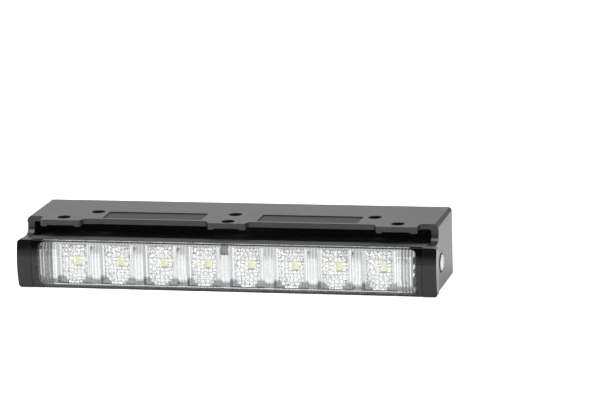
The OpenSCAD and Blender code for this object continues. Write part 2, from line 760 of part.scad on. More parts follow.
// One washer, drawn on the right
module side_washer() {
    color("#aeb2b6") place() on_side_axis(bracket_w / 2 - washer_sunk) difference() {
        cylinder(d = washer_d, h = washer_t);
        translate([0, 0, -past]) cylinder(d = side_thread_d + 2 * screw_gap, h = washer_t + 2 * past);
    }
}

// One brass insert, drawn on the right
module thread_insert() {
    color("#b8954a") place() on_side_axis(body_w / 2 - insert_len) difference() {
        cylinder(d = insert_d - 2 * thread_gap, h = insert_len);
        translate([0, 0, -past]) cylinder(d = side_thread_d, h = insert_len + 2 * past);
    }
}

// Draws its children on the named side
module on_side(side) mirror([side == "left" ? 1 : 0, 0, 0]) children();

bracket();
housing();
lens_cover();
cover_seal();
reflector();
reflector_clip();
for (i = led_numbers) optic_at(led_x(i));
for (i = led_numbers) led_at(led_x(i));
circuit_board();
board_connector();
board_screws();
thermal_pad();
heat_sink();
sink_seal();
sink_screws();
cable_gland();
vent_membrane();
for (s = SIDES) on_side(s) side_screw();
for (s = SIDES) on_side(s) side_washer();
for (s = SIDES) on_side(s) thread_insert();
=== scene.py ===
"""Daytime running light: the finishes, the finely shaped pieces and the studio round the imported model."""
from __future__ import annotations

import json
import logging
import math
from collections.abc import Callable
from dataclasses import dataclass, field
from enum import Enum

import bmesh
import bpy
from mathutils import Matrix, Vector


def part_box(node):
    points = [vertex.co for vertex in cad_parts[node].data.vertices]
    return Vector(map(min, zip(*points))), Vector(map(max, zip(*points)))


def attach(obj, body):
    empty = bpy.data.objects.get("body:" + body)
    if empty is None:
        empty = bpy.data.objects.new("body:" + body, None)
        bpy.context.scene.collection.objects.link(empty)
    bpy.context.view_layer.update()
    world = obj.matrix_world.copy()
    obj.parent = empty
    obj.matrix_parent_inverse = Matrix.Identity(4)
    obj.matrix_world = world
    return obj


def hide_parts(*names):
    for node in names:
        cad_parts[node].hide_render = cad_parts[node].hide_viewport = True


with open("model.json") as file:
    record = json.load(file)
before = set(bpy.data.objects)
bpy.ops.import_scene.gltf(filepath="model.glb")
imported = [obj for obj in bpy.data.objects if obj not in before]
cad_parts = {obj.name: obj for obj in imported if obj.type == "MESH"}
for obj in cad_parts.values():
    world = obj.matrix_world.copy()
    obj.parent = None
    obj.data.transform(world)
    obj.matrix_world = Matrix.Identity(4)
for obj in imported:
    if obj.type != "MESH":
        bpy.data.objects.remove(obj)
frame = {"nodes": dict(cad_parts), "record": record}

LOG = logging.getLogger("daytime_running_light")
BODY = "root"
MM = 0.001
NEAR = 1e-5  # metres within which places count as being on one line
HAIR = 1e-6  # metres within which two points are one
FLAT_ANGLE = 0.5  # degrees under which neighbouring faces are merged
ROUND_ANGLE = 32.0  # degrees up to which an edge counts as round
Colour = tuple[float, float, float]


class Side(Enum):
    """The two ends of the lamp, with the sign of X at each."""

    LEFT = -1
    RIGHT = 1


class Nodes:
    """A material's node tree, with short ways to add and join nodes."""

    def __init__(self, tree: bpy.types.NodeTree) -> None:
        """Keeps the tree.

        Args:
            tree: the node tree to fill.
        """
        self.tree = tree

    def add(self, kind: str, **values: object) -> bpy.types.Node:
        """Adds one node and sets its attributes and inputs.

        Args:
            kind: the node's type name.
            values: attributes, or inputs named with spaces as underscores.

        Returns:
            The new node.
        """
        node = self.tree.nodes.new(kind)
        for name, value in values.items():
            if hasattr(node, name):
                setattr(node, name, value)
            else:
                node.inputs[name.replace("_", " ")].default_value = value
        return node

    def join(self, source: bpy.types.NodeSocket, target: bpy.types.NodeSocket) -> None:
        """Links an output to an input."""
        self.tree.links.new(source, target)

    def maths(self, operation: str, first: object, second: object = 0.0) -> bpy.types.NodeSocket:
        """Adds a Math node.

        Args:
            operation: the Math node's operation.
            first: a socket or a number.
            second: a socket or a number.

        Returns:
            The node's output.
        """
        node = self.add("ShaderNodeMath", operation=operation)
        for socket, value in zip(node.inputs, (first, second)):
            if isinstance(value, bpy.types.NodeSocket):
                self.join(value, socket)
            else:
                socket.default_value = value
        return node.outputs[0]

    def fade(self, value: bpy.types.NodeSocket, start: float, end: float, low: float = 0.0,
             high: float = 1.0, smooth: bool = False) -> bpy.types.NodeSocket:
        """Maps a value from one stretch to another, held at both ends.

        Args:
            value: the socket that is mapped.
            start: where the stretch starts.
            end: where it ends.
            low: the output at its start.
            high: the output at its end.
            smooth: whether the ends are eased.

        Returns:
            The output.
        """
        node = self.add("ShaderNodeMapRange", interpolation_type="SMOOTHSTEP" if smooth else "LINEAR",
                        From_Min=start, From_Max=end, To_Min=low, To_Max=high)
        self.join(value, node.inputs["Value"])
        return node.outputs[0]

    def blend(self, share: bpy.types.NodeSocket, first: object, second: object) -> bpy.types.NodeSocket:
        """Mixes two numbers or two colours.

        Args:
            share: how much of the second is taken, from 0 to 1.
            first: a socket, a number or a colour.
            second: a socket, a number or a colour.

        Returns:
            The mixed output.
        """
        colours = any(isinstance(value, tuple) or getattr(value, "type", "") in ("RGBA", "VECTOR")
                      for value in (first, second))
        node = self.add("ShaderNodeMix", data_type="RGBA" if colours else "FLOAT")
        factor, low, high = [socket for socket in node.inputs if socket.enabled]
        self.join(share, factor)
        for socket, value in ((low, first), (high, second)):
            if isinstance(value, bpy.types.NodeSocket):
                self.join(value, socket)
            else:
                socket.default_value = (*value, 1) if colours else value
        return [socket for socket in node.outputs if socket.enabled][0]

    def scaled(self, colour: bpy.types.NodeSocket, share: bpy.types.NodeSocket) -> bpy.types.NodeSocket:
        """Darkens a colour by a share of its strength."""
        node = self.add("ShaderNodeVectorMath", operation="SCALE")
        self.join(colour, node.inputs[0])
        self.join(share, node.inputs["Scale"])
        return node.outputs[0]

    def place(self) -> bpy.types.NodeSocket:
        """Gives the place on the object, in metres."""
        return self.add("ShaderNodeTexCoord").outputs["Object"]

    def parts(self, vector: bpy.types.NodeSocket) -> bpy.types.bpy_prop_collection:
        """Splits a vector into X, Y and Z."""
        node = self.add("ShaderNodeSeparateXYZ")
        self.join(vector, node.inputs[0])
        return node.outputs

    def facing(self) -> bpy.types.bpy_prop_collection:
        """Gives the X, Y and Z of the way that the surface faces."""
        return self.parts(self.add("ShaderNodeNewGeometry").outputs["Normal"])

    def rough_up(self, shader: bpy.types.Node, height: bpy.types.NodeSocket, depth: float) -> None:
        """Adds a bump on top of the ones that the shader has.

        Args:
            shader: the Principled node.
            height: the pattern of the bump.
            depth: its depth in millimetres.
        """
        bump = self.add("ShaderNodeBump", Strength=1.0, Distance=depth * MM)
        self.join(height, bump.inputs["Height"])
        if shader.inputs["Normal"].links:
            self.join(shader.inputs["Normal"].links[0].from_socket, bump.inputs["Normal"])
        self.join(bump.outputs["Normal"], shader.inputs["Normal"])


class Effects:
    """The shader node groups that several finishes share, each built once."""

    _made: dict[str, bpy.types.NodeTree] = {}

    @classmethod
    def _begin(cls, name: str, inputs: dict[str, float], outputs: dict[str, str]) -> Nodes:
        """Starts a group with its sockets.

        Args:
            name: the group's name.
            inputs: each input's name and value.
            outputs: each output's name and socket type.

        Returns:
            The group's tree, with its input and output nodes in it.
        """
        tree = bpy.data.node_groups.new(name, "ShaderNodeTree")
        for label, value in inputs.items():
            socket = tree.interface.new_socket(label, in_out="INPUT", socket_type="NodeSocketFloat")
            socket.default_value = value
        for label, kind in outputs.items():
            tree.interface.new_socket(label, in_out="OUTPUT", socket_type=kind)
        cls._made[name] = tree
        return Nodes(tree)

    @classmethod
    def grain(cls) -> bpy.types.NodeTree:
        """The fine grain of a moulded surface: a height and a slow variation.

        Returns:
            The group, with inputs Size and Blotch Size, and outputs Height and Blotch.
        """
        if "MouldGrain" in cls._made:
            return cls._made["MouldGrain"]
        group = cls._begin("MouldGrain", {"Size": 1500.0, "Blotch Size": 40.0},
                           {"Height": "NodeSocketFloat", "Blotch": "NodeSocketFloat"})
        given = group.add("NodeGroupInput")
        out = group.add("NodeGroupOutput")
        place = group.add("ShaderNodeTexCoord")
        fine = group.add("ShaderNodeTexNoise", Detail=3.0, Roughness=0.6)
        slow = group.add("ShaderNodeTexNoise", Detail=4.0, Roughness=0.55)
        for node, label in ((fine, "Size"), (slow, "Blotch Size")):
            group.join(place.outputs["Object"], node.inputs["Vector"])
            group.join(given.outputs[label], node.inputs["Scale"])
        group.join(fine.outputs["Fac"], out.inputs["Height"])
        group.join(slow.outputs["Fac"], out.inputs["Blotch"])
        return group.tree


class Bench:
    """The ways of working on a mesh that every sub-assembly shares."""

    @staticmethod
    def solo(piece: bpy.types.Object) -> None:
        """Makes one object the only selected and the active one.

        Args:
            piece: the object.
        """
        if bpy.context.object and bpy.context.object.mode != "OBJECT":
            bpy.ops.object.mode_set(mode="OBJECT")
        bpy.ops.object.select_all(action="DESELECT")
        piece.select_set(True)
        bpy.context.view_layer.objects.active = piece

    @staticmethod
    def edit(piece: bpy.types.Object, kind: str = "FACE") -> None:
        """Opens an object in edit mode with nothing selected.

        Args:
            piece: the object.
            kind: what is selected from then on: VERT, EDGE or FACE.
        """
        Bench.solo(piece)
        bpy.ops.object.mode_set(mode="EDIT")
        bpy.ops.mesh.select_mode(type=kind)
        bpy.ops.mesh.select_all(action="DESELECT")

    @staticmethod
    def pick_faces(piece: bpy.types.Object, wanted: Callable[[Vector, Vector], bool]) -> int:
        """Selects the faces whose centre and normal pass a test, and no others.

        Args:
            piece: an object in edit mode.
            wanted: the test, given the centre and the normal.

        Returns:
            How many faces are selected.
        """
        mesh = bmesh.from_edit_mesh(piece.data)
        count = 0
        for face in mesh.faces:
            chosen = wanted(face.calc_center_median(), face.normal)
            face.select_set(chosen)
            count += chosen
        bmesh.update_edit_mesh(piece.data)
        return count

    @staticmethod
    def pick_points(piece: bpy.types.Object, wanted: Callable[[Vector], bool]) -> None:
        """Selects the vertices whose place passes a test, and no others.

        Args:
            piece: an object in edit mode, where vertices are selected.
            wanted: the test, given the place.
        """
        mesh = bmesh.from_edit_mesh(piece.data)
        for vertex in mesh.verts:
            vertex.select_set(wanted(vertex.co))
        mesh.select_flush(True)
        bmesh.update_edit_mesh(piece.data)

    @staticmethod
    def copy_of(node: str, name: str) -> bpy.types.Object:
        """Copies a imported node's solid and merges its loose triangles into whole faces.

        Args:
            node: the node's name.
            name: the new piece's name.

        Returns:
            The new piece, in object mode.
        """
        piece = bpy.data.objects.new(name, frame["nodes"][node].data.copy())
        bpy.context.scene.collection.objects.link(piece)
        Bench.edit(piece)
        bpy.ops.mesh.select_all(action="SELECT")
        bpy.ops.mesh.remove_doubles(threshold=HAIR)
        bpy.ops.mesh.dissolve_limited(angle_limit=math.radians(FLAT_ANGLE))
        bpy.ops.object.mode_set(mode="OBJECT")
        return piece

    @staticmethod
    def break_edges(piece: bpy.types.Object, width: float, segments: int = 2, angle: float = ROUND_ANGLE,
                    kept: Callable[[Vector], bool] = lambda point: False) -> None:
        """Rounds the sharp edges a little and smooths what is round.

        Args:
            piece: the object.
            width: the width of the rounding, in metres.
            segments: how many faces it has.
            angle: the sharpest angle, in degrees, that stays as it is.
            kept: the test of a place whose edges stay sharp.
        """
        Bench.edit(piece, "EDGE")
        bpy.ops.mesh.edges_select_sharp(sharpness=math.radians(angle))
        mesh = bmesh.from_edit_mesh(piece.data)
        for edge in mesh.edges:
            if edge.select and any(kept(vertex.co) for vertex in edge.verts):
                edge.select_set(False)
        bmesh.update_edit_mesh(piece.data)
        bpy.ops.mesh.bevel(offset=width, segments=segments, clamp_overlap=True)
        bpy.ops.object.mode_set(mode="OBJECT")
        Bench.even_shading(piece, angle)

    @staticmethod
    def even_shading(piece: bpy.types.Object, angle: float = ROUND_ANGLE) -> None:
        """Smooths what is round and keeps the large faces flat.

        Args:
            piece: the object.
            angle: the sharpest angle, in degrees, that counts as round.
        """
        Bench.solo(piece)
        bpy.ops.object.shade_smooth_by_angle(angle=math.radians(angle))
        weighted = piece.modifiers.new("even", "WEIGHTED_NORMAL")
        weighted.mode = "FACE_AREA"
        weighted.weight = 100
        weighted.keep_sharp = True
        bpy.ops.object.modifier_apply(modifier=weighted.name)

    @staticmethod
    def seat(piece: bpy.types.Object, slot: str, *nodes: str) -> None:
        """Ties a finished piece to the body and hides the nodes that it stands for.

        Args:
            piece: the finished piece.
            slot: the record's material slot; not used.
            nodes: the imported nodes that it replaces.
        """
        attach(piece, BODY)
        if nodes:
            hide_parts(*nodes)
        LOG.info("made %s", piece.name)


@dataclass(frozen=True)
class Finish:
    """A plain finish: one Principled surface with a fine grain, a slow change of gloss and of colour."""

    name: str
    colour: Colour
    roughness: float
    metallic: float = 0.0
    grain_size: float = 1500.0
    grain_depth: float = 0.01
    blotch: float = 0.08
    uneven: float = 0.1
    specular: float = 0.5

    def material(self) -> bpy.types.Material:
        """Builds the material, or gives the one already built.

        Returns:
            The material.
        """
        if self.name in bpy.data.materials:
            return bpy.data.materials[self.name]
        material = bpy.data.materials.new(self.name)
        material.use_nodes = True
        tree = Nodes(material.node_tree)
        shader = material.node_tree.nodes["Principled BSDF"]
        for label, value in (("Metallic", self.metallic), ("Roughness", self.roughness),
                             ("Specular IOR Level", self.specular), ("Base Color", (*self.colour, 1))):
            shader.inputs[label].default_value = value
        grain = tree.add("ShaderNodeGroup", node_tree=Effects.grain())
        grain.inputs["Size"].default_value = self.grain_size
        if self.grain_depth:
            tree.rough_up(shader, grain.outputs["Height"], self.grain_depth)
        if self.blotch:
            gloss = tree.fade(grain.outputs["Blotch"], 0, 1, self.roughness - self.blotch,
                              self.roughness + self.blotch)
            tree.join(gloss, shader.inputs["Roughness"])
        if self.uneven:
            dark, light = (tuple(min(1.0, part * (1 + off)) for part in self.colour)
                           for off in (-self.uneven, self.uneven))
            tree.join(tree.blend(grain.outputs["Blotch"], dark, light), shader.inputs["Base Color"])
        self.extra(tree, shader, material)
        return material

    def now(self, shader: bpy.types.Node, label: str) -> object:
        """Gives what feeds an input of the shader: its link, or else its own value.

        Args:
            shader: the Principled node.
            label: the input's name.

        Returns:
            The socket, number or colour.
        """
        socket = shader.inputs[label]
        if socket.links:
            return socket.links[0].from_socket
        return tuple(socket.default_value)[:3] if socket.type == "RGBA" else socket.default_value

    def extra(self, tree: Nodes, shader: bpy.types.Node, material: bpy.types.Material) -> None:
        """Lets a finish add to its material; a plain one adds nothing."""

    def dress(self, piece: bpy.types.Object) -> None:
        """Puts the finish on a piece."""
        piece.data.materials.clear()
        piece.data.materials.append(self.material())


@dataclass(frozen=True)
class PhosphorPaintedGlow(Finish):
    """Yellow phosphor with a painted glow: a steady faint emission in its own colour."""

    # strength of the painted glow, a steady emission whatever light falls
    glow: float = 0.6

    def extra(self, tree: Nodes, shader: bpy.types.Node, material: bpy.types.Material) -> None:
        """Adds the faint painted glow."""
        shader.inputs["Emission Color"].default_value = (*self.colour, 1)
        shader.inputs["Emission Strength"].default_value = self.glow


@dataclass(frozen=True)
class BracketSkin(Finish):
    """Satin black, duller on the sunk floors of the pockets and along the rounded side edges."""

    top: float = 31.5
    sunk: float = 0.5
    dull_roughness: float = 0.6
    level_from: float = 0.95
    turned_from: float = 0.3

    def extra(self, tree: Nodes, shader: bpy.types.Node, material: bpy.types.Material) -> None:
        """Mixes the dull floors and edges in.

        Args:
            tree: the material's tree.
            shader: its Principled node.
            material: the material.
        """
        facing = tree.facing()
        height = tree.parts(tree.place())["Z"]
        off = tree.maths("ABSOLUTE", tree.maths("SUBTRACT", height, (self.top - self.sunk) * MM))
        floor = tree.maths("MULTIPLY", tree.maths("LESS_THAN", off, self.sunk * MM / 2),
                           tree.maths("GREATER_THAN", facing["Z"], self.level_from))
        turned = tree.maths("GREATER_THAN", tree.maths("ABSOLUTE", facing["X"]), self.turned_from)
        edge = tree.maths("MULTIPLY", turned, tree.maths("GREATER_THAN", facing["Z"], self.turned_from))
        dull = tree.blend(tree.maths("MAXIMUM", floor, edge), self.now(shader, "Roughness"),
                          self.dull_roughness)
        tree.join(dull, shader.inputs["Roughness"])


@dataclass(frozen=True)
class RimGloss(Finish):
    """Polished black, left satin where the moulding faces straight up or down, with a much lighter colour
    painted there as sheen.
    """

    satin_roughness: float = 0.5
    # painted sheen: the far lighter colour of the faces that face straight up or down
    level_painted_sheen: Colour = (0.115, 0.116, 0.118)
    level_from: float = 0.93

    def extra(self, tree: Nodes, shader: bpy.types.Node, material: bpy.types.Material) -> None:
        """Mixes the satin faces, with their painted sheen, into the polished ones.

        Args:
            tree: the material's tree.
            shader: its Principled node.
            material: the material.
        """
        level = tree.maths("GREATER_THAN", tree.maths("ABSOLUTE", tree.facing()["Z"]), self.level_from)
        for label, satin in (("Roughness", self.satin_roughness), ("Base Color", self.level_painted_sheen)):
            tree.join(tree.blend(level, self.now(shader, label), satin), shader.inputs[label])


@dataclass(frozen=True)
class MirrorPlastic(Finish):
    """Vacuum-metallised plastic with fine upright flutes, its colour carrying painted reflection in the flute
    lines and the grey foot, and painted shade at the ends, the left end and the top.
    """

    streak_size: float = 900.0
    streak_depth: float = 0.025
    stretch: float = 0.05
    flute_size: float = 210.0
    flute_start: float = 0.5
    # painted reflection: share of the colour kept between the flute lines
    flute_painted_reflection: float = 0.78
    # painted shade: the ends, the left end more, and the strip along the top are darkened
    end_painted_shade: float = 0.36
    end_start: float = 83.0
    left_end_painted_shade: float = 0.55
    brow_start: float = 20.85
    brow_painted_shade: float = 0.95
    sill_top: float = 2.25
    # painted dark reflection: the grey of the foot, between the sill and foot_top
    foot_painted_reflection: Colour = (0.30, 0.305, 0.31)
    foot_top: float = 6.0
    foot_fade: float = 2.2
    foot_lean: float = 0.3
    front: float = -23.0

    def extra(self, tree: Nodes, shader: bpy.types.Node, material: bpy.types.Material) -> None:
        """Adds the streaks, and paints the grey foot and the flute lines as reflection and the darker ends
        and top as shade.

        Args:
            tree: the material's tree.
            shader: its Principled node.
            material: the material.
        """
        upright = tree.add("ShaderNodeMapping", Scale=(1.0, 1.0, self.stretch))
        tree.join(tree.place(), upright.inputs["Vector"])
        streaks = tree.add("ShaderNodeTexNoise", Scale=self.streak_size, Detail=2.0, Roughness=0.5)
        tree.join(upright.outputs[0], streaks.inputs["Vector"])
        tree.rough_up(shader, streaks.outputs["Fac"], self.streak_depth)
        place = tree.parts(tree.place())
        # painted dark reflection: the chrome turns grey towards the foot, apart from the sill
        lean = tree.maths("MULTIPLY", tree.maths("SUBTRACT", place["Y"], self.front * MM), self.foot_lean)
        above = tree.fade(tree.maths("SUBTRACT", place["Z"], lean), (self.foot_top - self.foot_fade) * MM,
                          self.foot_top * MM, smooth=True)
        bright = tree.maths("MAXIMUM", above, tree.maths("LESS_THAN", place["Z"], self.sill_top * MM))
        colour = tree.blend(bright, self.foot_painted_reflection, self.now(shader, "Base Color"))
        # painted shade at both ends, more at the left end
        ends = tree.maths("GREATER_THAN", tree.maths("ABSOLUTE", place["X"]), self.end_start * MM)
        left = tree.blend(tree.maths("LESS_THAN", place["X"], -self.end_start * MM), 1.0, self.left_end_painted_shade)
        # painted reflection: the flute lines, with darker chrome between them
        flutes = tree.add("ShaderNodeTexWave", bands_direction="X", Scale=self.flute_size, Distortion=1.5,
                          Detail=2.0)
        tree.join(upright.outputs[0], flutes.inputs["Vector"])
        line = tree.fade(flutes.outputs["Fac"], self.flute_start, 1)
        between = tree.blend(ends, self.flute_painted_reflection, self.end_painted_shade)
        lined = tree.blend(line, between, 1.0)
        # painted shade along the top
        brow = tree.blend(tree.maths("GREATER_THAN", place["Z"], self.brow_start * MM), 1.0, self.brow_painted_shade)
        share = tree.maths("MULTIPLY", left, tree.maths("MULTIPLY", brow, lined))
        tree.join(tree.scaled(colour, share), shader.inputs["Base Color"])


@dataclass(frozen=True)
class Clear(Finish):
    """A clear moulding: light passes, and its shadow is let through."""

    ior: float = 1.49
    clearness: float = 1.0

    def extra(self, tree: Nodes, shader: bpy.types.Node, material: bpy.types.Material) -> None:
        """Makes the surface clear.

        Args:
            tree: the material's tree.
            shader: its Principled node.
            material: the material.
        """
        shader.inputs["Transmission Weight"].default_value = self.clearness
        shader.inputs["IOR"].default_value = self.ior
        through = tree.add("ShaderNodeBsdfTransparent")
        mix = tree.add("ShaderNodeMixShader")
        tree.join(tree.add("ShaderNodeLightPath").outputs["Is Shadow Ray"], mix.inputs[0])
        tree.join(shader.outputs[0], mix.inputs[1])
        tree.join(through.outputs[0], mix.inputs[2])
        tree.join(mix.outputs[0], material.node_tree.nodes["Material Output"].inputs["Surface"])


@dataclass(frozen=True)
class BlackedCover(Clear):
    """The cover: clear, with both ends blackened from behind round the corners of its window."""

    half_width: float = 90.4
    low: float = 0.2
    high: float = 22.5
    corner: float = 3.0

    def extra(self, tree: Nodes, shader: bpy.types.Node, material: bpy.types.Material) -> None:
        """Blackens the two ends.

        Args:
            tree: the material's tree.
            shader: its Principled node.
            material: the material.
        """
        super().extra(tree, shader, material)
        place = tree.parts(tree.place())
        height = tree.maths("SUBTRACT", place["Z"], (self.high + self.low) / 2 * MM)
        offs = []
        for along, half in ((place["X"], self.half_width), (height, (self.high - self.low) / 2)):
            past = tree.maths("SUBTRACT", tree.maths("ABSOLUTE", along), (half - self.corner) * MM)
            offs.append(tree.maths("POWER", tree.maths("MAXIMUM", past, 0.0), 2.0))
        outside = tree.maths("GREATER_THAN", tree.maths("ADD", *offs), (self.corner * MM) ** 2)
        end = tree.maths("GREATER_THAN", tree.maths("ABSOLUTE", place["X"]),
                         (self.half_width - self.corner) * MM)
        border = tree.maths("MULTIPLY", outside, end)
        blacked = tree.blend(border, self.now(shader, "Base Color"), (0.0, 0.0, 0.0))
        tree.join(blacked, shader.inputs["Base Color"])


@dataclass(frozen=True)
class CutGlass(Clear):
    """Clear plastic cut into small facets: silvery by the light turned back in it, with dark lines of painted
    shade between the facets and a faint painted play of reflected colour.
    """

    cell_size: float = 520.0
    cell_depth: float = 0.14
    cell_play: float = 0.6
    line_width: float = 0.09
    # painted shade: how dark the lines between the facets are
    line_painted_shade: float = 0.35
    tint_size: float = 420.0
    tint_start: float = 0.35
    tint_end: float = 0.65
    # painted reflection: the two tints that the facets play between
    warm_painted_tint: Colour = (1.0, 0.985, 0.94)
    cool_painted_tint: Colour = (0.96, 0.965, 0.985)

    def extra(self, tree: Nodes, shader: bpy.types.Node, material: bpy.types.Material) -> None:
        """Adds the fine facets, the dark lines of painted shade between them and a faint painted play of
        reflected colour.

        Args:
            tree: the material's tree.
            shader: its Principled node.
            material: the material.
        """
        super().extra(tree, shader, material)
        cells, edges = (tree.add("ShaderNodeTexVoronoi", feature=kind, Scale=self.cell_size,
                                 Randomness=self.cell_play) for kind in ("F1", "DISTANCE_TO_EDGE"))
        tints = tree.add("ShaderNodeTexNoise", Scale=self.tint_size, Detail=1.0)
        for node in (cells, edges, tints):
            tree.join(tree.place(), node.inputs["Vector"])
        tree.rough_up(shader, cells.outputs["Distance"], self.cell_depth)
        line = tree.fade(edges.outputs["Distance"], 0, self.line_width, self.line_painted_shade, 1)
        play = tree.fade(tints.outputs["Fac"], self.tint_start, self.tint_end)
        tint = tree.blend(play, self.warm_painted_tint, self.cool_painted_tint)
        tree.join(tree.scaled(tint, line), shader.inputs["Base Color"])


BRACKET_BLACK = BracketSkin("bracket black", (0.032, 0.033, 0.034), 0.31, grain_size=2600, grain_depth=0.015,
                            blotch=0.04)
# painted shade for the walls of the screw holes, far darker than the plate
HOLE_PAINTED_SHADE = Finish("hole painted shade", (0.003, 0.003, 0.003), 0.7, specular=0.05)
# the housing's faces that face straight up or down carry a painted sheen
HOUSING_BLACK = RimGloss("housing black", (0.006, 0.0062, 0.0085), 0.1, grain_size=900, grain_depth=0.001,
                         blotch=0.03)
COVER_CLEAR = BlackedCover("cover clear", (0.97, 0.98, 0.985), 0.0, grain_depth=0.0, blotch=0.0, uneven=0.01,
                           ior=1.55)
OPTIC_CLEAR = Clear("optic clear", (0.985, 0.99, 0.98), 0.07, grain_depth=0.0, blotch=0.0, uneven=0.01,
                    ior=1.3)
OPTIC_SIDES = Clear("optic sides", (0.97, 0.97, 0.96), 0.4, grain_depth=0.0, uneven=0.02, clearness=0.2)
# the facets carry painted shade in their lines and painted reflected colour in their tints
OPTIC_FACETS = CutGlass("optic facets", (0.98, 0.98, 0.98), 0.06, metallic=0.88, grain_depth=0.0, blotch=0.0)
# chrome with painted reflection and painted shade in its colour
CHROME = MirrorPlastic("reflector chrome", (0.93, 0.93, 0.925), 0.2, metallic=1.0, grain_size=700,
                       grain_depth=0.004, blotch=0.03)
CLIP_GREY = Finish("clip grey", (0.28, 0.285, 0.29), 0.5)
SEAL_BLACK = Finish("seal rubber", (0.01, 0.01, 0.011), 0.7)
# the phosphor carries a painted glow
PHOSPHOR_PAINTED_GLOW = PhosphorPaintedGlow("led phosphor painted glow", (0.96, 0.95, 0.66), 0.35)
MASK_WHITE = Finish("board white", (0.9, 0.9, 0.88), 0.4)
NYLON = Finish("connector nylon", (0.78, 0.73, 0.6), 0.45)
PAD = Finish("thermal pad", (0.33, 0.42, 0.5), 0.6)
CAST = Finish("cast aluminium", (0.55, 0.56, 0.57), 0.42, metallic=1.0, grain_size=1800, grain_depth=0.03)
# the washers' dark grey is painted shade round the screw heads
STEEL_PAINTED_SHADE = Finish("washer steel painted shade", (0.12, 0.12, 0.125), 0.35, metallic=1.0, grain_size=2500,
                    grain_depth=0.004)
ZINC = Finish("screw zinc", (0.72, 0.72, 0.7), 0.22, metallic=1.0, grain_size=2500, grain_depth=0.004)
BRASS = Finish("insert brass", (0.75, 0.52, 0.2), 0.28, metallic=1.0)
FILM = Finish("vent film", (0.8, 0.8, 0.77), 0.75)


@dataclass(frozen=True)
class PhotoCamera:
    """The camera that took the photograph, found from the lamp's own edges."""

    yaw: float = 12.95
    pitch: float = 12.36
    roll: float = -1.72
    focal: float = 3300.0
    frame_width: float = 597.0
    sensor: float = 36.0
    lamp_in_view: Vector = field(default_factory=lambda: Vector((-0.03433, 0.04320, 1.52967)))
    front_depth: float = 0.0265

    def build(self) -> None:
        """Adds the camera where the photographer stood."""
        yaw, pitch, roll = (math.radians(a) for a in (self.yaw, self.pitch, self.roll))
        ahead = Vector((-math.sin(yaw) * math.cos(pitch), math.cos(yaw) * math.cos(pitch), -math.sin(pitch)))
        level = ahead.cross(Vector((0, 0, 1))).normalized()
        upright = level.cross(ahead)
        right = level * math.cos(roll) + upright * math.sin(roll)
        up = upright * math.cos(roll) - level * math.sin(roll)
        seen = self.lamp_in_view
        lamp_front = Vector((0, -self.front_depth, 0))
        place = lamp_front - right * seen.x + up * seen.y - ahead * seen.z
        data = bpy.data.cameras.new("camera")
        data.sensor_width = self.sensor
        data.lens = self.focal / self.frame_width * self.sensor
        camera = bpy.data.objects.new("camera", data)
        bpy.context.scene.collection.objects.link(camera)
        turn = Matrix((right, up, -ahead)).transposed().to_4x4()
        camera.matrix_world = Matrix.Translation(place) @ turn
        bpy.context.scene.camera = camera


